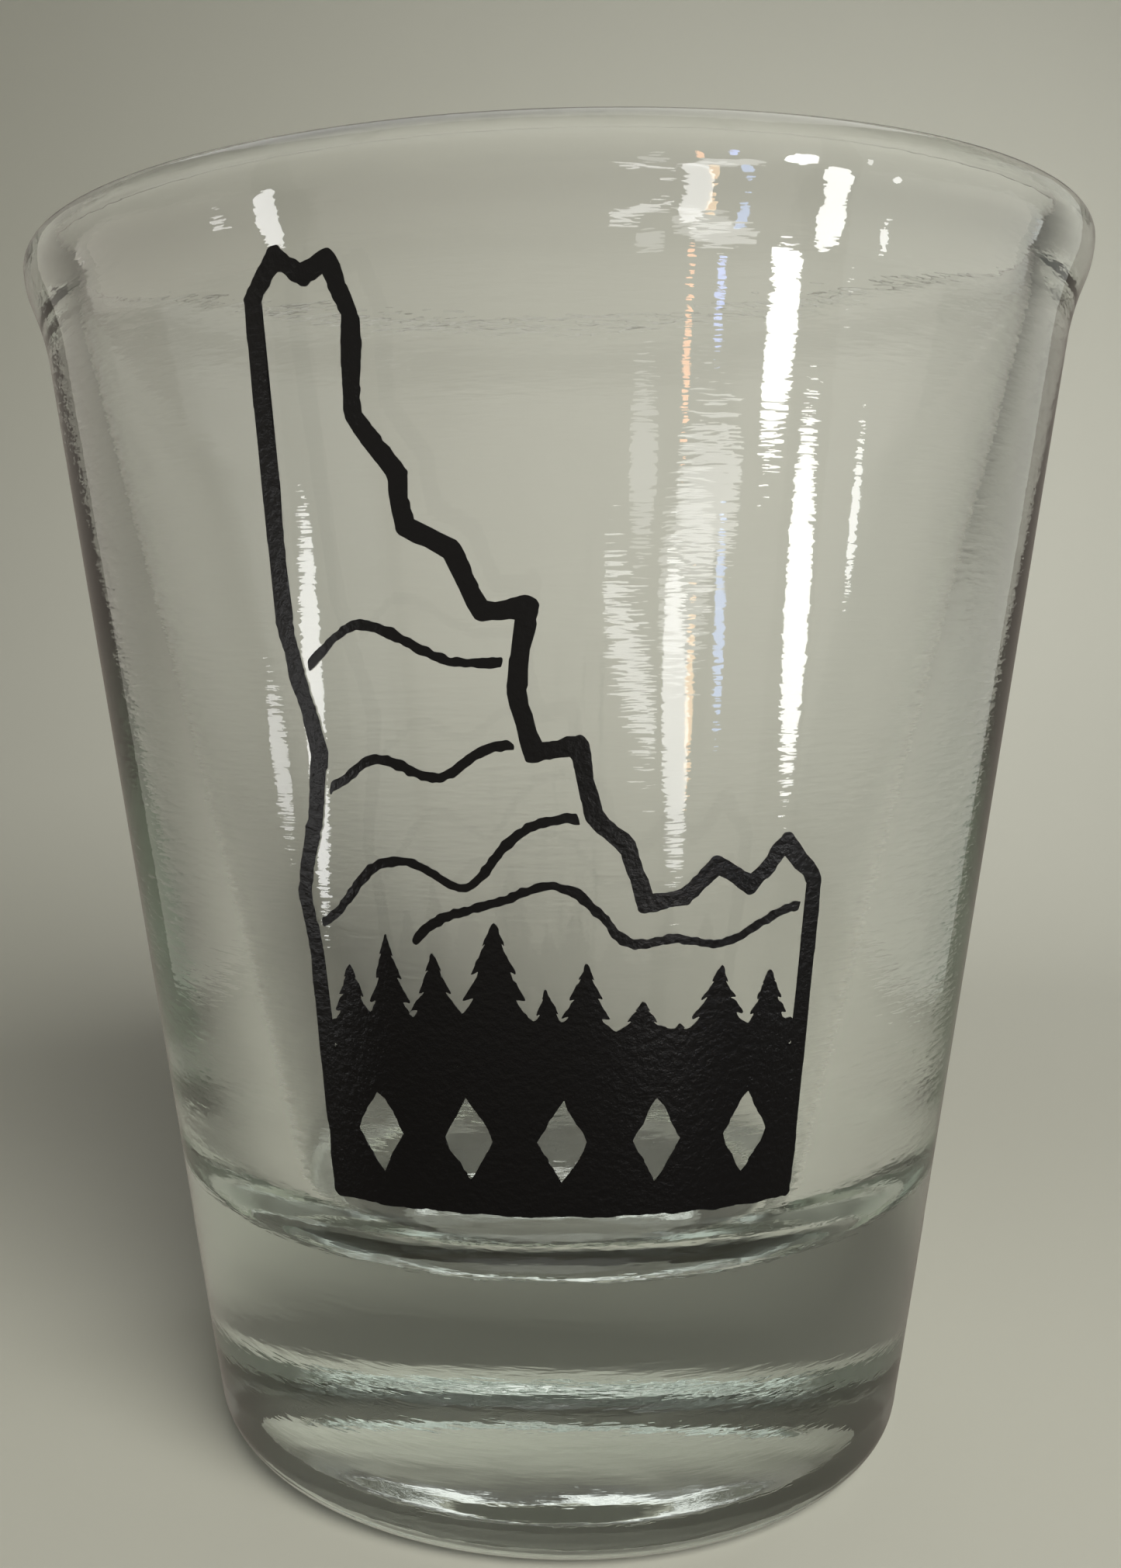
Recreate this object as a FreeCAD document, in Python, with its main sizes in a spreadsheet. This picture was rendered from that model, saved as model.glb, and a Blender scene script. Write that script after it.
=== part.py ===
import FreeCAD, Part
import math
import os

import Sketcher

# Souvenir shot glass: one pressed glass body with a fired black print on its front.
# Millimetres, +Z up. The glass stands on z = 0 and turns about Z, and the print faces -Y.

doc = FreeCAD.newDocument("ShotGlass")
sheet = doc.addObject("Spreadsheet::Sheet", "Sizes")

# Alias, value in millimetres, what it is.
SIZES = (
    ("glass_height", 59.0, "foot to top of rim"),
    ("rim_radius", 25.5, "outside of the lip"),
    ("foot_radius", 17.75, "straight wall line, carried down to the foot"),
    ("lip_flare", 0.35, "lip beyond the straight wall line at the rim's height"),
    ("lip_height", 4.0, "flared lip, down from the rim"),
    ("lip_land", 1.7, "widest part of the lip, down from the rim"),
    ("lip_blend", 9.0, "soft change from the wall into the lip"),
    ("lip_round", 3.2, "soft outside of the lip"),
    ("rim_thickness", 2.1, "glass across the rim"),
    ("rim_round", 0.95, "fire polished edges of the rim"),
    ("floor_height", 12.1, "foot to inside floor"),
    ("floor_wall", 5.87, "glass between the wall line and the inside corner"),
    ("floor_fillet", 5.0, "inside corner round"),
    ("heel_round", 2.2, "outside corner round at the foot"),
    ("foot_ring", 8.2, "width of the standing ring, in from the wall line"),
    ("foot_hollow", 0.9, "rise of the hollow under the foot"),
    ("foot_round", 0.6, "inner round of the standing ring"),
    ("ink_thickness", 0.06, "fired enamel on the glass"),
    ("print_bottom", 17.3, "foot to lower edge of the print"),
    ("print_top_gap", 3.8, "top of the print to top of rim"),
    ("print_width", 22.4, "round the glass at the print's middle height"),
    ("outline_width", 0.7, "heavy line"),
    ("ridge_width", 0.37, "light line"),
    ("ridge_gap", 0.25, "clear glass between a light line and the heavy one"),
    ("band_height", 6.2, "solid band above the heavy bottom line"),
    ("forest_floor", 1.1, "solid undergrowth below the firs"),
    ("lozenge_width", 2.3, "clear lozenge in the band"),
    ("lozenge_height", 3.7, "clear lozenge in the band"),
    ("lozenge_rise", 2.6, "middle of the lozenges above the heavy bottom line"),
)
for row, (alias, value, note) in enumerate(SIZES, 1):
    sheet.set(f"A{row}", note)
    sheet.set(f"B{row}", str(value))
    sheet.setAlias(f"B{row}", alias)
doc.recompute()


def size(alias):
    return float(sheet.get(alias))


def bind(thing, prop, formula):
    """Ties a property to a formula in which [alias] is a cell of the sheet."""
    thing.setExpression(prop, formula.replace("[", "Sizes.").replace("]", ""))


# ---- glass body: a turned profile, then its rounds ----

WALL_SLOPE = "([rim_radius] - [lip_flare] - [foot_radius]) / [glass_height]"


def wall_line(height):
    """Formula for the outside wall's radius at a height."""
    return f"[foot_radius] + {WALL_SLOPE} * ({height})"


# Corner of the profile, distance from the axis, height. The order runs from the hollow
# under the foot, out and up the wall, over the rim and down to the inside floor.
CORNERS = (
    ("ring", "[foot_radius] - [foot_ring]", "0"),
    ("heel", "[foot_radius]", "0"),
    ("lip_low", wall_line("[glass_height] - [lip_height]"), "[glass_height] - [lip_height]"),
    ("lip_high", "[rim_radius]", "[glass_height] - [lip_land]"),
    ("rim_out", "[rim_radius]", "[glass_height]"),
    ("rim_in", "[rim_radius] - [rim_thickness]", "[glass_height]"),
    ("corner", wall_line("[floor_height]") + " - [floor_wall]", "[floor_height]"),
    ("floor", "0", "[floor_height]"),
    ("hollow", "0", "[foot_hollow]"),
)
# The rim is rounded on both edges, so each round takes less than half its thickness.
RIM_ROUND = "min([rim_round]; [rim_thickness] * 0.46)"
# Corner to round and how much, in the order that they are made.
ROUNDS = (
    ("corner", "[floor_fillet]"),
    ("heel", "[heel_round]"),
    ("ring", "[foot_round]"),
    ("lip_low", "[lip_blend]"),
    ("lip_high", "[lip_round]"),
    ("rim_out", RIM_ROUND),
    ("rim_in", RIM_ROUND),
)


def value_of(formula):
    """The same formula as a number, for a drawing's first places."""
    for alias, start, note in SIZES:
        formula = formula.replace(f"[{alias}]", str(size(alias)))
    probe = doc.addObject("App::FeaturePython", "Probe")
    probe.addProperty("App::PropertyFloat", "Amount")
    probe.setExpression("Amount", formula)
    doc.recompute()
    amount = probe.Amount
    doc.removeObject(probe.Name)
    return amount


def origin_plane(body, role):
    return next(plane for plane in body.Origin.OriginFeatures if plane.Role == role)


def draw_profile(body):
    sketch = body.newObject("Sketcher::SketchObject", "glass_profile")
    sketch.AttachmentSupport = (origin_plane(body, "XZ_Plane"), "")
    sketch.MapMode = "FlatFace"
    places = [FreeCAD.Vector(value_of(across), value_of(up), 0) for name, across, up in CORNERS]
    ends = places[1:] + places[:1]
    lines = [Part.LineSegment(start, end) for start, end in zip(places, ends)]
    # The last stretch, under the foot, is a shallow dome centred on the axis.
    ring, hollow = places[0], places[-1]
    rise = hollow.y - ring.y
    dome = (ring.x ** 2 + rise ** 2) / (2 * rise)
    centre = FreeCAD.Vector(0, hollow.y - dome, 0)
    first = math.atan2(ring.y - centre.y, ring.x)
    circle = Part.Circle(centre, FreeCAD.Vector(0, 0, 1), dome)
    lines[-1] = Part.ArcOfCircle(circle, first, math.pi / 2)
    sketch.addGeometry(lines, False)
    last = len(lines) - 1
    for number in range(last - 1):
        sketch.addConstraint(Sketcher.Constraint("Coincident", number, 2, number + 1, 1))
    sketch.addConstraint(Sketcher.Constraint("Coincident", last - 1, 2, last, 2))
    sketch.addConstraint(Sketcher.Constraint("Coincident", last, 1, 0, 1))
    sketch.addConstraint(Sketcher.Constraint("PointOnObject", last, 3, -2))
    for number, (name, across, up) in enumerate(CORNERS):
        line, end = (number, 1) if number < last else (last - 1, 2)
        place_corner(sketch, line, end, name, across, up)
    return sketch


def place_corner(sketch, line, end, name, across, up):
    for direction, formula in (("X", across), ("Y", up)):
        if formula == "0":
            axis = {"X": -2, "Y": -1}[direction]
            sketch.addConstraint(Sketcher.Constraint("PointOnObject", line, end, axis))
            continue
        distance = Sketcher.Constraint(f"Distance{direction}", -1, 1, line, end, value_of(formula))
        number = sketch.addConstraint(distance)
        sketch.renameConstraint(number, f"{name}_{direction}")
        bind(sketch, f"Constraints.{name}_{direction}", formula)


def ring_edges(shape, corner):
    """Names of the round edges that a profile corner has turned into."""
    name, across, up = next(row for row in CORNERS if row[0] == corner)
    radius = value_of(across)
    height = value_of(up)
    found = []
    for number, edge in enumerate(shape.Edges, 1):
        if edge.Degenerated or not isinstance(edge.Curve, Part.Circle):
            continue
        off_radius = abs(edge.Curve.Radius - radius)
        off_height = abs(edge.Curve.Center.z - height)
        if max(off_radius, off_height) < 1e-4:
            found.append(f"Edge{number}")
    if not found:
        raise RuntimeError(f"no round edge at corner {corner}")
    return found


def round_corner(body, corner, radius):
    base = body.Tip
    fillet = body.newObject("PartDesign::Fillet", f"{corner}_round")
    fillet.Base = (base, ring_edges(base.Shape, corner))
    bind(fillet, "Radius", radius)
    body.Tip = fillet
    doc.recompute()


def make_glass():
    body = doc.addObject("PartDesign::Body", "glass_body")
    body.Label = "glass_body"
    sketch = draw_profile(body)
    turned = body.newObject("PartDesign::Revolution", "glass_turned")
    turned.Profile = sketch
    turned.ReferenceAxis = (sketch, ["V_Axis"])
    turned.Angle = 360
    body.Tip = turned
    doc.recompute()
    for corner, radius in ROUNDS:
        round_corner(body, corner, radius)
    return body


# ---- print: a flat drawing, laid round the glass as a thin skin ----

# The drawing is made flat, in millimetres: X is the distance round the glass from the
# middle of the print, at the print's middle height, and Y is the height above the foot.
# Places in the lists are shares of the print's half width and of its height.

# Heavy line, from the foot of the left flank: a rock tower with a broken top, then a
# stepped crest that falls to the right.
CREST = (
    (-1.0, 0.0),
    (-1.0, 0.285),
    (-1.035, 0.350),
    (-0.955, 0.430),
    (-0.90, 0.505),
    (-0.965, 0.585),
    (-1.0, 0.640),
    (-1.0, 0.962),
    (-0.90, 1.0),
    (-0.81, 0.978),
    (-0.72, 0.992),
    (-0.655, 0.940),
    (-0.67, 0.845),
    (-0.53, 0.785),
    (-0.52, 0.735),
    (-0.36, 0.712),
    (-0.27, 0.648),
    (-0.11, 0.655),
    (-0.16, 0.570),
    (-0.10, 0.505),
    (0.06, 0.515),
    (0.11, 0.440),
    (0.24, 0.405),
    (0.31, 0.345),
    (0.46, 0.352),
    (0.58, 0.386),
    (0.72, 0.360),
    (0.86, 0.405),
    (1.0, 0.362),
    (1.0, 0.0),
)
# Light lines: smooth curves through these places, cut off short of the heavy line.
RIDGES = (
    ((-1.0, 0.578), (-0.82, 0.622), (-0.70, 0.640), (-0.58, 0.628), (-0.40, 0.604),
     (-0.26, 0.598), (-0.05, 0.618)),
    ((-1.0, 0.455), (-0.80, 0.478), (-0.66, 0.500), (-0.46, 0.480), (-0.30, 0.505),
     (-0.05, 0.500)),
    ((-1.0, 0.312), (-0.84, 0.345), (-0.68, 0.388), (-0.52, 0.384), (-0.36, 0.364),
     (-0.20, 0.412), (-0.04, 0.436), (0.25, 0.398)),
    ((-0.56, 0.304), (-0.42, 0.334), (-0.22, 0.350), (-0.06, 0.366), (0.08, 0.352),
     (0.26, 0.302), (0.44, 0.306), (0.58, 0.298), (0.78, 0.318), (1.0, 0.336)),
)
# Firs: place across, tip height and half width.
FIRS = (
    (-0.86, 0.274, 0.14),
    (-0.69, 0.312, 0.15),
    (-0.50, 0.292, 0.18),
    (-0.26, 0.330, 0.22),
    (-0.06, 0.256, 0.12),
    (0.09, 0.284, 0.17),
    (0.31, 0.240, 0.17),
    (0.46, 0.214, 0.11),
    (0.62, 0.276, 0.19),
    (0.84, 0.268, 0.15),
)
TIERS = 5
TIER_NOTCH = 0.6
TIER_LIFT = 0.15
LOZENGES = 5
CURVE_STEP = 0.4
RUN_STEP = 3.0
ROUND_STEPS = 4
SHORTEST_RUN = 0.01


def half_width():
    return (size("print_width") - size("outline_width")) / 2


def print_height():
    return size("glass_height") - size("print_top_gap") - size("print_bottom")


def line_bottom():
    return size("print_bottom") + size("outline_width") / 2


def line_height():
    return print_height() - size("outline_width")


def flat(across, up):
    return FreeCAD.Vector(across * half_width(), line_bottom() + up * line_height(), 0)


def wall_radius(up):
    spread = size("rim_radius") - size("lip_flare") - size("foot_radius")
    return size("foot_radius") + spread * up / size("glass_height")


def front_view(point):
    """Where a point of the flat drawing is seen from the front, once it is on the glass."""
    middle = size("print_bottom") + print_height() / 2
    angle = point.x / wall_radius(middle)
    return FreeCAD.Vector(wall_radius(point.y) * math.sin(angle), 0, point.y)


def heavy_line():
    points = [flat(across, up) for across, up in CREST]
    return Part.makePolygon(points + points[:1])


def draw_outline():
    half = size("outline_width") / 2
    line = heavy_line()
    outside = line.makeOffset2D(half, 0)
    inside = line.makeOffset2D(-half, 0)
    return Part.Face(outside).cut(Part.Face(inside))


def inside_outline(gap):
    return Part.Face(heavy_line().makeOffset2D(-size("outline_width") / 2 - gap, 0))


def draw_ridge(places):
    curve = Part.BSplineCurve()
    curve.interpolate([flat(across, up) for across, up in places])
    edge = curve.toShape()
    points = edge.discretize(Distance=CURVE_STEP)
    stroke = Part.makePolygon(points).makeOffset2D(size("ridge_width") / 2, 0, False, False)
    return Part.Face(stroke).common(inside_outline(size("ridge_gap")))


def band_low():
    return line_bottom() + size("outline_width") / 2


def band_top():
    return band_low() + size("band_height")


def polygon_face(places):
    points = [FreeCAD.Vector(across, up, 0) for across, up in places]
    return Part.Face(Part.makePolygon(points + points[:1]))


def inner_strip(low, high):
    """A strip from one inside edge of the heavy line to the other."""
    reach = half_width() - size("outline_width") / 2
    return polygon_face([(-reach, low), (reach, low), (reach, high), (-reach, high)])


def fir_side(place, tip, spread, side):
    """One side of a fir, from its tip down: each tier steps in before the next one."""
    drop = (tip - band_top()) / TIERS
    places = []
    for tier in range(1, TIERS + 1):
        reach = side * spread * tier / TIERS
        level = tip - drop * tier
        places.append((place + reach, level))
        if tier < TIERS:
            places.append((place + reach * TIER_NOTCH, level + drop * TIER_LIFT))
    return places


def draw_fir(across, tip, spread):
    top = flat(across, tip)
    right = fir_side(top.x, top.y, spread * half_width(), 1)
    left = fir_side(top.x, top.y, spread * half_width(), -1)
    return polygon_face([(top.x, top.y)] + left + right[::-1])


def draw_forest():
    undergrowth = inner_strip(band_top(), band_top() + size("forest_floor"))
    firs = [draw_fir(across, tip, spread) for across, tip, spread in FIRS]
    forest = undergrowth.fuse(firs).common(inside_outline(0)).removeSplitter()
    # Chinks that crossing branches shut in are ink too.
    return Part.Face(forest.Faces[0].OuterWire)


def draw_band():
    band = inner_strip(band_low(), band_top())
    pitch = 2 * (half_width() - size("outline_width") / 2) / LOZENGES
    middle = band_low() + size("lozenge_rise")
    for number in range(LOZENGES):
        place = pitch * (number + 0.5 - LOZENGES / 2)
        band = band.cut(draw_lozenge(place, middle))
    return band


def draw_lozenge(place, middle):
    across = size("lozenge_width") / 2
    up = size("lozenge_height") / 2
    return polygon_face([
        (place, middle - up),
        (place + across, middle),
        (place, middle + up),
        (place - across, middle),
    ])


def trace(wire):
    """Points along a flat wire: corners of straight runs, and steps along curves and long runs."""
    points = []
    for edge in wire.OrderedEdges:
        straight = isinstance(edge.Curve, (Part.Line, Part.LineSegment))
        steps = math.ceil(edge.Length / RUN_STEP) if straight else ROUND_STEPS
        run = edge.discretize(steps + 1)
        if edge.Orientation == "Reversed":
            run.reverse()
        points += run[:-1]
    return points


def front_wire(wire):
    points = []
    for point in trace(wire):
        place = front_view(point)
        if not points or place.distanceToPoint(points[-1]) > SHORTEST_RUN:
            points.append(place)
    return Part.makePolygon(points + points[:1])


def make_ink_skin():
    """A thin cone on the outside wall, a line's width taller than the print at each end."""
    low = "[print_bottom] - [outline_width]"
    top = "[glass_height] - [print_top_gap] + [outline_width]"
    cones = []
    for name, extra in (("ink_outside", " + [ink_thickness]"), ("ink_inside", "")):
        cone = doc.addObject("Part::Cone", name)
        bind(cone, "Radius1", wall_line(low) + extra)
        bind(cone, "Radius2", wall_line(top) + extra)
        bind(cone, "Height", f"{top} - ({low})")
        bind(cone, "Placement.Base.z", low)
        cones.append(cone)
    skin = doc.addObject("Part::Cut", "ink_skin")
    skin.Base, skin.Tool = cones
    return skin


def make_print(name, drawing, skin):
    """Pushes a flat drawing through the front wall and keeps what lies in the ink skin."""
    face = doc.addObject("Part::Feature", f"{name}_drawing")
    wires = [front_wire(wire) for flat_face in drawing.Faces for wire in flat_face.Wires]
    face.Shape = Part.makeFace(wires, "Part::FaceMakerBullseye")
    block = doc.addObject("Part::Extrusion", f"{name}_block")
    block.Base = face
    block.DirMode = "Custom"
    block.Dir = (0, -1, 0)
    block.Solid = True
    bind(block, "LengthFwd", "[rim_radius] + [ink_thickness]")
    ink = doc.addObject("Part::Common", name)
    ink.Base = block
    ink.Tool = skin
    ink.Label = name
    return ink


def make_prints():
    skin = make_ink_skin()
    prints = [
        make_print("print_outline", draw_outline(), skin),
        make_print("print_band", draw_band(), skin),
        make_print("print_forest", draw_forest(), skin),
    ]
    for number, places in enumerate(RIDGES, 1):
        prints.append(make_print(f"print_ridge_{number}", draw_ridge(places), skin))
    return prints


# ---- build, check and write ----

def check(parts):
    for thing in doc.Objects:
        if "Invalid" in thing.State or "Error" in thing.State:
            raise RuntimeError(f"{thing.Label} failed: {thing.State}")
    for part in parts:
        if part.Shape.isNull() or not part.Shape.isValid():
            raise RuntimeError(f"{part.Label} has no valid shape")
        if len(part.Shape.Solids) != 1:
            raise RuntimeError(f"{part.Label} has {len(part.Shape.Solids)} solids")


parts = [make_glass()] + make_prints()
doc.recompute()
check(parts)
os.makedirs("parts", exist_ok=True)
for part in parts:
    part.Shape.exportStep(f"parts/{part.Label}.step")
    print(part.Label, f"{part.Shape.Volume:.3f} mm3")
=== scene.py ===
import bpy
import bmesh
import math
from mathutils import Matrix, Vector, noise


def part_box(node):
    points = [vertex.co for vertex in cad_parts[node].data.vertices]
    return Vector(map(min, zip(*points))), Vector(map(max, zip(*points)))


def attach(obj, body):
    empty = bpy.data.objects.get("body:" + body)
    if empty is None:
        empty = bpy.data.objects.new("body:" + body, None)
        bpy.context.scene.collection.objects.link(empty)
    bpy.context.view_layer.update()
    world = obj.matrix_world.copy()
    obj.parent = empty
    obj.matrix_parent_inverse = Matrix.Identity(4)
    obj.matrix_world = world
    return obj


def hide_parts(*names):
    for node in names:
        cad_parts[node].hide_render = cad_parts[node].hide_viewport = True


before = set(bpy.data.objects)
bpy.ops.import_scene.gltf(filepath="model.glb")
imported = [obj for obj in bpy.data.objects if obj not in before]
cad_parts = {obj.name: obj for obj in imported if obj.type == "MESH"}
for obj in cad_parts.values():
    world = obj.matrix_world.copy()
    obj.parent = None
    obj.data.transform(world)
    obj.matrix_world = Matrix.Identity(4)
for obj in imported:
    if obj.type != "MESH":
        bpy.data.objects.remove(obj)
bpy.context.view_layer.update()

mm = 0.001


def srgb(code):
    channels = [int(code[place:place + 2], 16) / 255 for place in (1, 3, 5)]
    linear = [c / 12.92 if c <= 0.04045 else ((c + 0.055) / 1.055) ** 2.4 for c in channels]
    return (*linear, 1.0)


def addNode(tree, kind, settings=None, links=None):
    node = tree.nodes.new(kind)
    for name, value in (settings or {}).items():
        if name in node.inputs:
            node.inputs[name].default_value = value
        else:
            setattr(node, name, value)
    for name, source in (links or {}).items():
        tree.links.new(source, node.inputs[name])
    return node


def newMaterial(name):
    material = bpy.data.materials.new(name)
    material.use_nodes = True
    material.node_tree.nodes.clear()
    return material, material.node_tree


def newPiece(name, mesh, material):
    data = bpy.data.meshes.new(name)
    mesh.to_mesh(data)
    mesh.free()
    data.materials.append(material)
    piece = bpy.data.objects.new(name, data)
    bpy.context.scene.collection.objects.link(piece)
    return piece


def shadeSmooth(piece):
    for face in piece.data.polygons:
        face.use_smooth = True


# Soda-lime glass, pressed in an iron mould and fire polished: clear, faintly green where
# light runs through a lot of it, with very shallow chill ripples round the wall.
glassLook = {
    "ior": 1.52,
    "tint": "#ccd8ce",
    "tintDensity": 20.0,
    "ripplePitch": 0.3,     # millimetres up the wall
    "rippleLength": 1.8,     # millimetres round it
    "rippleDepth": 0.009,
}


def makeGlassMaterial():
    material, tree = newMaterial("pressedSodaLimeGlass")
    place = addNode(tree, "ShaderNodeTexCoord")
    along = 1 / (glassLook["rippleLength"] * mm)
    up = 1 / (glassLook["ripplePitch"] * mm)
    stretch = addNode(tree, "ShaderNodeMapping", {"Scale": (along, along, up)},
                      {"Vector": place.outputs["Object"]})
    ripple = addNode(tree, "ShaderNodeTexNoise", {"Scale": 1.0, "Detail": 2.0, "Roughness": 0.55},
                     {"Vector": stretch.outputs["Vector"]})
    depth = glassLook["rippleDepth"] * mm
    bump = addNode(tree, "ShaderNodeBump", {"Strength": 1.0, "Distance": depth},
                   {"Height": ripple.outputs["Fac"]})
    glass = addNode(tree, "ShaderNodeBsdfPrincipled", {
        "Base Color": (1, 1, 1, 1),
        "Roughness": 0.0,
        "IOR": glassLook["ior"],
        "Transmission Weight": 1.0,
    }, {"Normal": bump.outputs["Normal"]})
    tint = addNode(tree, "ShaderNodeVolumeAbsorption",
                   {"Color": srgb(glassLook["tint"]), "Density": glassLook["tintDensity"]})
    addNode(tree, "ShaderNodeOutputMaterial", None,
            {"Surface": glass.outputs["BSDF"], "Volume": tint.outputs["Volume"]})
    return material


# Black ceramic enamel, screen printed and fired on: a dense black with a dull shine that
# breaks up over the fine orange peel which the screen leaves.
inkLook = {
    "black": "#050506",
    "roughness": 0.3,
    "specular": 0.25,
    "peelPitch": 0.3,        # millimetres
    "peelDepth": 0.03,
}


def makeInkMaterial():
    material, tree = newMaterial("firedBlackEnamel")
    place = addNode(tree, "ShaderNodeTexCoord")
    peel = addNode(tree, "ShaderNodeTexNoise",
                   {"Scale": 1 / (inkLook["peelPitch"] * mm), "Detail": 3.0, "Roughness": 0.6},
                   {"Vector": place.outputs["Object"]})
    bump = addNode(tree, "ShaderNodeBump", {"Strength": 1.0, "Distance": inkLook["peelDepth"] * mm},
                   {"Height": peel.outputs["Fac"]})
    ink = addNode(tree, "ShaderNodeBsdfPrincipled", {
        "Base Color": srgb(inkLook["black"]),
        "Roughness": inkLook["roughness"],
        "Specular IOR Level": inkLook["specular"],
    }, {"Normal": bump.outputs["Normal"]})
    addNode(tree, "ShaderNodeOutputMaterial", None, {"Surface": ink.outputs["BSDF"]})
    return material


glassMaterial = makeGlassMaterial()
inkMaterial = makeInkMaterial()
print("materials:", glassMaterial.name, "and", inkMaterial.name)


lowGlass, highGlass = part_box("glass_body")

# Millimetres, as the CAD node has them: the profile's corners and the rounds on them.
glassShape = {
    "height": (highGlass[2] - lowGlass[2]) / mm,
    "rimRadius": highGlass[0] / mm,
    "wallTop": 25.15,
    "wallFoot": 17.75,
    "lipHeight": 4.0,
    "lipLand": 1.7,
    "rimThickness": 2.1,
    "floorHeight": 12.1,
    "floorRadius": 13.4,
    "footRadius": 9.55,
    "footHollow": 0.9,
    "lipBlend": 9.0,
    "lipRound": 3.2,
    "rimRound": 0.95,
    "floorFillet": 5.0,
    "heelRound": 2.2,
    "footRound": 0.6,
    "steps": 288,
    "inkBed": 0.02,          # the wall stands this much into the print, so the two don't fight
    "insideWave": 0.075,
    "insideWaveLength": 8.0,
    "floorWave": 0.09,
    "floorWaveLength": 4.5,
    "outsideWave": 0.006,
    "outsideWaveRound": 6,   # millimetres round the wall, and up it
    "outsideWaveUp": 9,
    "waveStretch": 3.5,      # the inside waves are this much longer up the wall than round it
    "floorReach": 6,         # the floor's waves die out this far up the wall
    "ringMargin": 1,         # the hollow's curve ends this far inside the standing ring
    "profileStep": 0.8,      # the longest straight piece of the section
}


def wallRadius(up):
    spread = glassShape["wallTop"] - glassShape["wallFoot"]
    return glassShape["wallFoot"] + spread * up / glassShape["height"]


def boreRadius(up):
    rise = glassShape["height"] - glassShape["floorHeight"]
    rimInside = glassShape["rimRadius"] - glassShape["rimThickness"]
    share = (up - glassShape["floorHeight"]) / rise
    return glassShape["floorRadius"] + (rimInside - glassShape["floorRadius"]) * share


def glassProfile(mesh):
    # Corners of the half section, each rounded with a vertex bevel, then long runs divided.
    g = glassShape
    top = g["height"]
    # Each corner: across, up, the radius of its round and the pieces that the round has.
    corners = (
        (0.0, g["footHollow"], 0.0, 1),
        (g["footRadius"], 0.0, g["footRound"], 4),
        (g["wallFoot"], 0.0, g["heelRound"], 12),
        (wallRadius(top - g["lipHeight"]), top - g["lipHeight"], g["lipBlend"], 6),
        (g["rimRadius"], top - g["lipLand"], g["lipRound"], 5),
        (g["rimRadius"], top, g["rimRound"], 9),
        (g["rimRadius"] - g["rimThickness"], top, g["rimRound"], 9),
        (g["floorRadius"], g["floorHeight"], g["floorFillet"], 16),
        (0.0, g["floorHeight"], 0.0, 1),
    )
    verts = [mesh.verts.new((across * mm, 0, up * mm)) for across, up, rounding, parts in corners]
    for start, end in zip(verts, verts[1:]):
        mesh.edges.new((start, end))
    places = [vert.co.copy() for vert in verts]
    for number in range(1, len(corners) - 1):
        before = places[number] - places[number - 1]
        after = places[number + 1] - places[number]
        setback = corners[number][2] * mm * math.tan(before.angle(after) / 2)
        bmesh.ops.bevel(mesh, geom=[verts[number]], affect="VERTICES", offset=setback,
                        offset_type="OFFSET", segments=corners[number][3], profile=0.5, material=-1)
    mesh.edges.ensure_lookup_table()
    for edge in list(mesh.edges):
        cuts = int(edge.calc_length() / mm / g["profileStep"])
        if cuts > 0:
            bmesh.ops.subdivide_edges(mesh, edges=[edge], cuts=cuts)
    hollowTop = g["footHollow"] * mm * 1.01
    hollowEdge = (g["footRadius"] - g["ringMargin"]) * mm
    for vert in mesh.verts:
        if vert.co.z < hollowTop and vert.co.x < hollowEdge:
            share = vert.co.x / mm / g["footRadius"]
            vert.co.z = g["footHollow"] * mm * (1 - share ** 2)


def waveGlass(mesh):
    # Pressed glass isn't even: the inside wall, the floor and the underside wander a little.
    g = glassShape
    for vert in mesh.verts:
        across = math.hypot(vert.co.x, vert.co.y) / mm
        up = vert.co.z / mm
        if across < 0.01:
            continue
        out = Vector((vert.co.x, vert.co.y, 0)).normalized()
        here = vert.co / mm
        if up > g["floorHeight"] - 0.3:
            inward = (wallRadius(up) - across) / (wallRadius(up) - boreRadius(up))
        else:
            inward = 0.0
        inward = min(max(inward, 0.0), 1.0)
        length = g["insideWaveLength"]
        wave = noise.noise(Vector((here.x / length, here.y / length, here.z / length / g["waveStretch"])))
        vert.co += out * wave * inward * g["insideWave"] * mm
        length = g["floorWaveLength"]
        swell = noise.noise(Vector((here.x / length, here.y / length, 7.3 + here.z / length / 2)))
        if inward > 0.99:
            low = min(max(1 - (up - g["floorHeight"]) / g["floorReach"], 0.0), 1.0)
            vert.co.z += swell * low * g["floorWave"] * mm
        if up < 1.0 and across < g["footRadius"]:
            vert.co.z += abs(swell) * g["floorWave"] * mm * min(1.0, (g["footRadius"] - across) / 2)
        if inward == 0.0 and 4 < up < g["height"] - 5:
            length = g["outsideWaveRound"]
            spot = Vector((here.x / length, here.y / length, here.z / g["outsideWaveUp"] + 3.1))
            side = noise.noise(spot)
            vert.co += out * (g["inkBed"] + side * g["outsideWave"]) * mm


def makeGlass():
    mesh = bmesh.new()
    glassProfile(mesh)
    bmesh.ops.spin(mesh, geom=mesh.verts[:] + mesh.edges[:], cent=(0, 0, 0), axis=(0, 0, 1),
                   steps=glassShape["steps"], angle=2 * math.pi, use_merge=True)
    bmesh.ops.remove_doubles(mesh, verts=mesh.verts, dist=0.002 * mm)
    bmesh.ops.recalc_face_normals(mesh, faces=mesh.faces)
    waveGlass(mesh)
    print("glass:", len(mesh.verts), "points,", round(mesh.calc_volume(signed=True) / mm ** 3), "mm3")
    piece = newPiece("glassBody", mesh, glassMaterial)
    shadeSmooth(piece)
    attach(piece, "root")
    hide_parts("glass_body")
    return piece


makeGlass()


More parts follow.
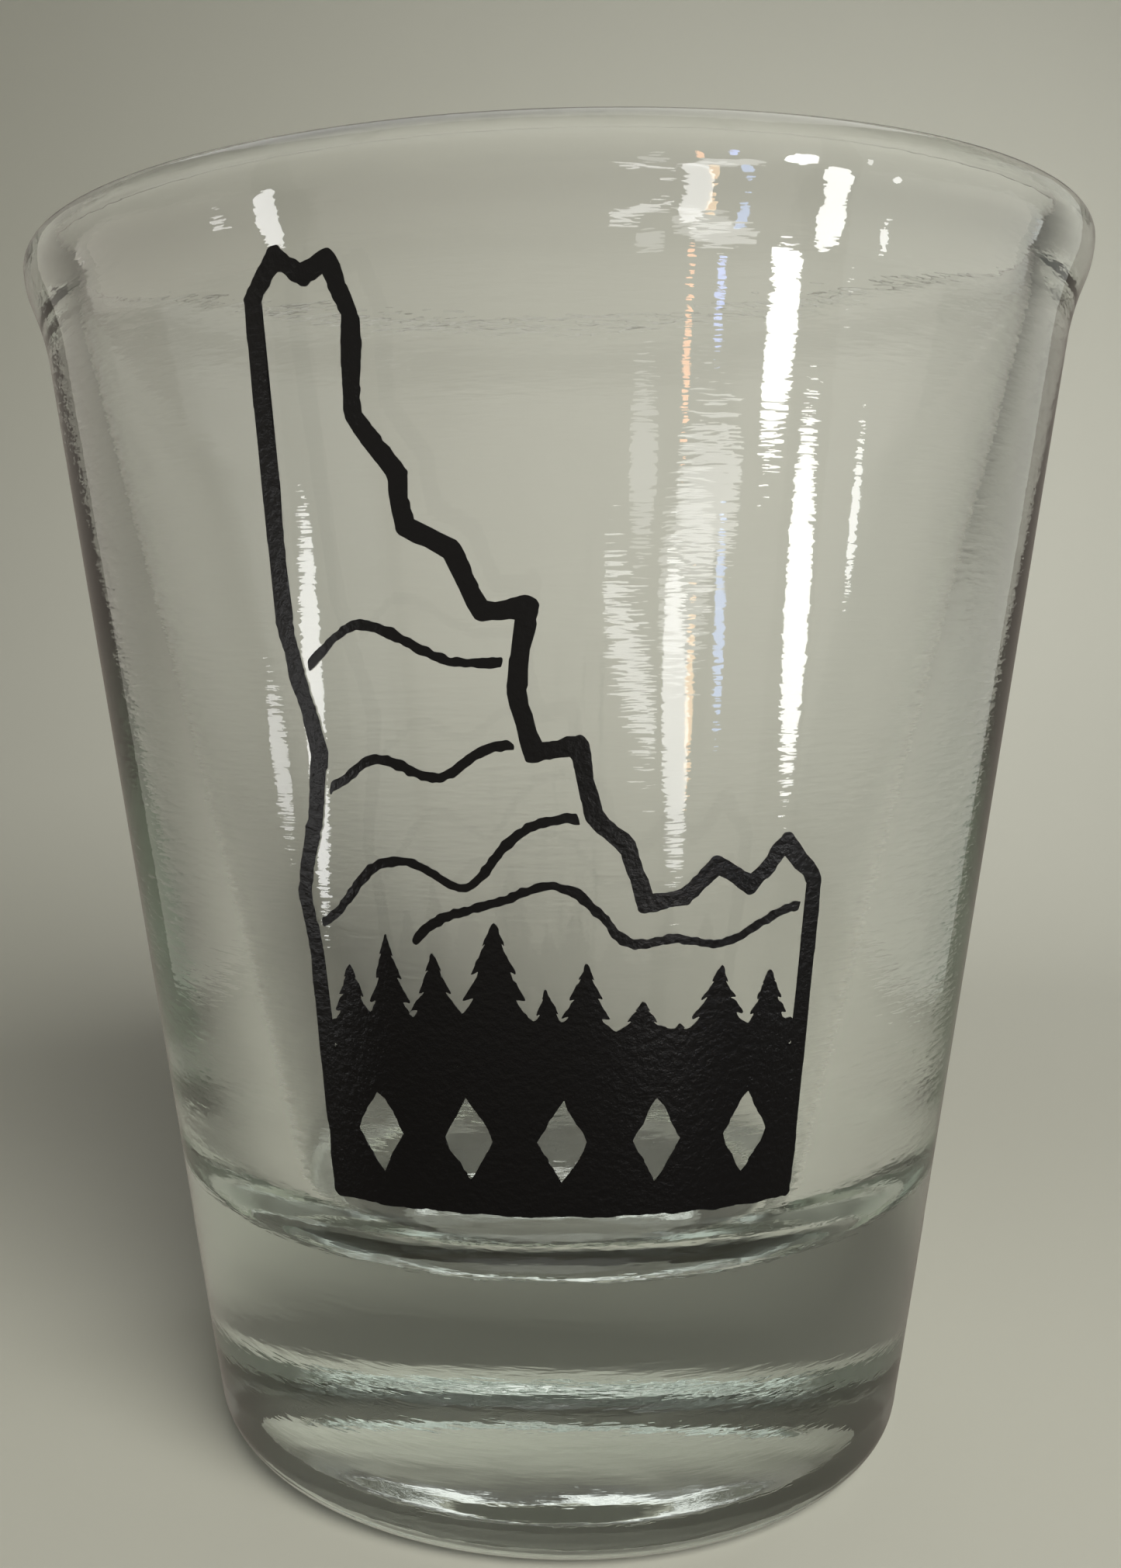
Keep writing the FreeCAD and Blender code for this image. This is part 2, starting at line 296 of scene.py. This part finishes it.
inkEdge = {
    "step": 0.2,
    "softening": 2,          # rounds of smoothing, for the corners of the screen's stencil
    "ragged": 0.07,
    "raggedLength": 0.3,
    "lumpy": 0.1,
    "lumpyLength": 1.2,
    "thickness": 0.05,
    "sideAngle": 0.5,        # radians: a sharper edge than this bounds the print's face
    "divisions": 6,
    "girth": 22,             # the wall's radius at the print, to lay its pattern out flat
    "flareBelow": 1.0,       # the wall starts to flare this far below the lip
    "flareBend": 0.13,
}


def wallNormal(place):
    slope = (glassShape["wallTop"] - glassShape["wallFoot"]) / glassShape["height"]
    out = Vector((place.x, place.y, 0)).normalized()
    return Vector((out.x, out.y, -slope)).normalized()


def roughenEdges(mesh):
    # Divides the sides of the print, rounds its corners a little and makes them ragged.
    step = inkEdge["step"] * mm
    sharp = inkEdge["sideAngle"]
    for turn in range(inkEdge["divisions"]):
        long = [e for e in mesh.edges if e.calc_face_angle(0) > sharp and e.calc_length() > step]
        if not long:
            break
        bmesh.ops.subdivide_edges(mesh, edges=long, cuts=1)
        bmesh.ops.triangulate(mesh, faces=mesh.faces)
    for turn in range(inkEdge["softening"]):
        moves = {}
        for vert in mesh.verts:
            beside = [e.other_vert(vert).co for e in vert.link_edges
                      if e.calc_face_angle(0) > sharp and e.calc_length() < 3 * step
                      and abs(wallNormal(vert.co).dot((e.other_vert(vert).co - vert.co).normalized())) < 0.3]
            if len(beside) == 2:
                moves[vert] = (beside[0] + beside[1]) / 2
        for vert, place in moves.items():
            vert.co = vert.co.lerp(place, 0.5)
    for vert in mesh.verts:
        out = Vector((vert.co.x, vert.co.y, 0)).normalized()
        along = Vector((-out.y, out.x, 0))
        spot = Vector((math.atan2(vert.co.x, -vert.co.y) * inkEdge["girth"], vert.co.z / mm, 0))
        for size, length, seed in (("ragged", "raggedLength", 1.0), ("lumpy", "lumpyLength", 9.0)):
            where = spot / inkEdge[length]
            across = noise.noise(where + Vector((0, 0, seed)))
            up = noise.noise(where + Vector((0, 0, seed + 4.0)))
            vert.co += (along * across + Vector((0, 0, up))) * inkEdge[size] * mm


def layOnWall(mesh):
    # Keeps the print's two faces on the wall, also where the lip begins to flare.
    for vert in mesh.verts:
        radius = math.hypot(vert.co.x, vert.co.y) / mm
        height = vert.co.z / mm
        outer = radius - wallRadius(height) > inkEdge["thickness"] / 2
        intoFlare = height - glassShape["height"] + glassShape["lipHeight"] + inkEdge["flareBelow"]
        lip = max(0.0, intoFlare / 2) ** 2 * inkEdge["flareBend"]
        wanted = wallRadius(height) + lip + (inkEdge["thickness"] + glassShape["inkBed"] if outer else 0)
        vert.co.x *= wanted / radius
        vert.co.y *= wanted / radius


def inkPiece(node):
    mesh = bmesh.new()
    mesh.from_mesh(bpy.data.objects[node].data)
    bmesh.ops.remove_doubles(mesh, verts=mesh.verts, dist=0.001 * mm)
    roughenEdges(mesh)
    layOnWall(mesh)
    piece = newPiece(node.replace("print_", "ink_"), mesh, inkMaterial)
    shadeSmooth(piece)
    # The face of the print takes the wall's own curve; its thin sides stay crisp.
    normals = []
    for face in piece.data.polygons:
        for number in face.vertices:
            curve = wallNormal(piece.data.vertices[number].co)
            normals.append(curve if face.normal.dot(curve) > 0.8 else face.normal)
    piece.data.normals_split_custom_set(normals)
    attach(piece, "root")
    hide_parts(node)
    return piece


printNodes = [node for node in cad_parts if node.startswith("print_")]
for node in printNodes:
    inkPiece(node)
print("print:", len(printNodes), "pieces of enamel")


# A seamless sweep of matt pale paper: flat under the glass, curving up into a wall behind it.
stageShape = {"width": 1000, "front": -420, "flat": 90, "bend": 110, "height": 520,
              "bendParts": 24}
stageLook = {"paper": "#bbbbb0", "roughness": 0.7}


def makeSweep():
    s = stageShape
    material, tree = newMaterial("palePaperSweep")
    paper = addNode(tree, "ShaderNodeBsdfPrincipled",
                    {"Base Color": srgb(stageLook["paper"]), "Roughness": stageLook["roughness"]})
    addNode(tree, "ShaderNodeOutputMaterial", None, {"Surface": paper.outputs["BSDF"]})
    mesh = bmesh.new()
    side = -s["width"] / 2
    corners = ((side, s["front"], 0), (side, s["flat"] + s["bend"], 0),
               (side, s["flat"] + s["bend"], s["height"]))
    verts = [mesh.verts.new(Vector(place) * mm) for place in corners]
    for start, end in zip(verts, verts[1:]):
        mesh.edges.new((start, end))
    bmesh.ops.bevel(mesh, geom=[verts[1]], affect="VERTICES", offset=s["bend"] * mm,
                    offset_type="OFFSET", segments=s["bendParts"], profile=0.5, material=-1)
    made = bmesh.ops.extrude_edge_only(mesh, edges=mesh.edges[:])
    moved = [part for part in made["geom"] if isinstance(part, bmesh.types.BMVert)]
    bmesh.ops.translate(mesh, verts=moved, vec=(s["width"] * mm, 0, 0))
    bmesh.ops.recalc_face_normals(mesh, faces=mesh.faces)
    sweep = newPiece("paperSweep", mesh, material)
    shadeSmooth(sweep)
    sweep.visible_glossy = False     # the wall of the glass mirrors the lamps, not the paper


makeSweep()
print("stage: paper sweep")


# Where each lamp stands: degrees round the glass from the front, to the right, then
# millimetres. Lean is degrees from upright. Glow is the brightness of its face. A lamp
# faces its aim, or the middle of the glass where it has none.
paperLamps = (
    {"name": "key", "turn": 24, "distance": 260, "up": 220, "size": (220, 170), "glow": 4.4,
     "spread": 110, "colour": "#fffdf6"},
    {"name": "wallWash", "turn": 105, "distance": 85, "up": 140, "size": (180, 100), "glow": 0.9,
     "spread": 90, "aim": (60, 200, 60)},
    {"name": "wallRight", "turn": 124, "distance": 190, "up": 90, "size": (50, 120), "glow": 1.2,
     "spread": 120},
)
# The room in front and beside, that the glass bends into view at its sides and in its base.
roomCards = (
    {"name": "roomFront", "turn": 0, "distance": 420, "up": 60, "size": (1000, 520), "glow": 0.36,
     "colour": "#f2ede2"},
    {"name": "roomLeft", "turn": -95, "distance": 400, "up": 80, "size": (600, 420), "glow": 0.42,
     "colour": "#eee8dd"},
    {"name": "roomRight", "turn": 95, "distance": 400, "up": 80, "size": (600, 420), "glow": 0.42,
     "colour": "#f0f4ee"},
    {"name": "ceiling", "turn": 180, "distance": 60, "up": 420, "size": (500, 400), "glow": 1.1},
)
# These are only seen mirrored in the glass: windows, a doorway and shop lamps.
mirrorLamps = (
    {"name": "windowHigh", "turn": 45, "distance": 300, "up": 40, "size": (33, 50), "lean": -18, "glow": 17},
    {"name": "windowLow", "turn": 54, "distance": 297, "up": -12, "size": (32, 79), "lean": 12, "glow": 14},
    {"name": "gapLow", "turn": 66, "distance": 299, "up": 11, "size": (11, 31), "lean": 5, "glow": 10},
    {"name": "gapHigh", "turn": 59, "distance": 298, "up": 62, "size": (7, 10), "lean": 21, "glow": 7},
    {"name": "blueHigh", "turn": 32, "distance": 300, "up": 45, "size": (10, 13), "glow": 13,
     "colour": "#a8bcff"},
    {"name": "blueLow", "turn": 36, "distance": 295, "up": -22, "size": (12, 39), "lean": 14, "glow": 9,
     "colour": "#a9c6ff"},
    {"name": "orangeHigh", "turn": 26, "distance": 300, "up": 30, "size": (8, 20), "glow": 12,
     "colour": "#ffb987"},
    {"name": "orangeLow", "turn": 30, "distance": 292, "up": -38, "size": (9, 33), "lean": 7, "glow": 9,
     "colour": "#ffd3a0"},
    {"name": "doorway", "turn": 32, "distance": 299, "up": 4, "size": (72, 30), "lean": 5, "glow": 4.5},
    {"name": "doorwayFloor", "turn": 28, "distance": 297, "up": -14, "size": (62, 36), "lean": 9, "glow": 3},
    {"name": "doorwayPath", "turn": 27, "distance": 291, "up": -43, "size": (29, 68), "lean": 19, "glow": 8},
    {"name": "counter", "turn": 16.5, "distance": 293, "up": -33, "size": (18, 73), "lean": 62, "glow": 6},
    {"name": "shelf", "turn": 18, "distance": 299, "up": 8, "size": (29, 34), "lean": 9, "glow": 2.5},
    {"name": "left", "turn": -57, "distance": 293, "up": -35, "size": (26, 92), "lean": -19, "glow": 10},
    {"name": "farLeft", "turn": -68, "distance": 292, "up": -40, "size": (24, 32), "lean": 24, "glow": 6},
)
# The rest of the room is pale and dim. It doesn't light the paper, so the shadow stays.
worldLook = {"low": "#b8aea1", "high": "#d8d3ca", "strength": 0.42}


def makeWorld():
    world = bpy.data.worlds.new("room")
    bpy.context.scene.world = world
    world.use_nodes = True
    tree = world.node_tree
    tree.nodes.clear()
    direction = addNode(tree, "ShaderNodeTexCoord")
    parts = addNode(tree, "ShaderNodeSeparateXYZ", None, {"Vector": direction.outputs["Generated"]})
    tones = addNode(tree, "ShaderNodeValToRGB", None, {"Fac": parts.outputs["Z"]})
    tones.color_ramp.elements[0].color = srgb(worldLook["low"])
    tones.color_ramp.elements[1].color = srgb(worldLook["high"])
    glow = addNode(tree, "ShaderNodeBackground", {"Strength": worldLook["strength"]},
                   {"Color": tones.outputs["Color"]})
    addNode(tree, "ShaderNodeOutputWorld", None, {"Surface": glow.outputs["Background"]})
    world.cycles_visibility.diffuse = False


def makeLamp(look, shape):
    angle = math.radians(look["turn"])
    reach = look["distance"]
    place = Vector((reach * math.sin(angle), -reach * math.cos(angle), look["up"])) * mm
    light = bpy.data.lights.new(look["name"], "AREA")
    light.shape = shape
    light.size, light.size_y = (length * mm for length in look["size"])
    light.spread = math.radians(look.get("spread", 180))
    face = light.size * light.size_y * (math.pi / 4 if shape == "ELLIPSE" else 1)
    light.energy = look["glow"] * math.pi * face
    light.color = srgb(look.get("colour", "#ffffff"))[:3]
    lamp = bpy.data.objects.new(look["name"], light)
    bpy.context.scene.collection.objects.link(lamp)
    aim = (Vector(look.get("aim", (0, 0, 30))) * mm - place).to_track_quat("-Z", "Y").to_matrix().to_4x4()
    lean = Matrix.Rotation(math.radians(look.get("lean", 0)), 4, "Z")
    lamp.matrix_world = Matrix.Translation(place) @ aim @ lean
    lamp.visible_camera = False
    return lamp


makeWorld()
for look in paperLamps:
    lamp = makeLamp(look, "RECTANGLE")
    lamp.visible_glossy = False
    lamp.visible_transmission = False
for look in roomCards:
    makeLamp(look, "RECTANGLE").visible_diffuse = False
for look in mirrorLamps:
    lamp = makeLamp(look, "ELLIPSE")
    lamp.visible_diffuse = False
    lamp.visible_transmission = False

# Light crosses many faces of thick glass before it gets out.
bpy.context.scene.cycles.max_bounces = 32
bpy.context.scene.cycles.transmission_bounces = 24
bpy.context.scene.cycles.glossy_bounces = 24
bpy.context.scene.view_settings.view_transform = "Standard"
print("light:", len(paperLamps) + len(roomCards) + len(mirrorLamps), "lamps and cards")


# Millimetres and radians. The shift is in shares of the picture's longer side.
cameraShape = {
    "lens": 35.5939,
    "sensor": 36.0,
    "shift": (0.070064, 0.028649),
    "distance": 81.05,
    "height": 41.01,
    "down": 0.125,
    "roll": -0.014,
    "yaw": 0.065,
    "turn": math.radians(1.15),
}


def makeCamera():
    c = cameraShape
    data = bpy.data.cameras.new("camera")
    camera = bpy.data.objects.new("camera", data)
    bpy.context.scene.collection.objects.link(camera)
    bpy.context.scene.camera = camera
    data.sensor_width = c["sensor"]
    data.lens = c["lens"]
    data.shift_x, data.shift_y = c["shift"]
    data.clip_start = 0.001
    side = Vector((math.cos(c["yaw"]), math.sin(c["yaw"]), 0))
    level = Vector((-math.sin(c["yaw"]), math.cos(c["yaw"]), 0))
    up = Vector((0, 0, 1))
    ahead = level * math.cos(c["down"]) - up * math.sin(c["down"])
    head = level * math.sin(c["down"]) + up * math.cos(c["down"])
    aim = Matrix((side, head, -ahead)).transposed().to_4x4()
    place = Matrix.Translation(Vector((0, -c["distance"], c["height"])) * mm)
    camera.matrix_world = (Matrix.Rotation(-c["turn"], 4, "Z") @ place @ aim
                           @ Matrix.Rotation(c["roll"], 4, "Z"))


makeCamera()
print("camera:", cameraShape["distance"], "mm from the glass")
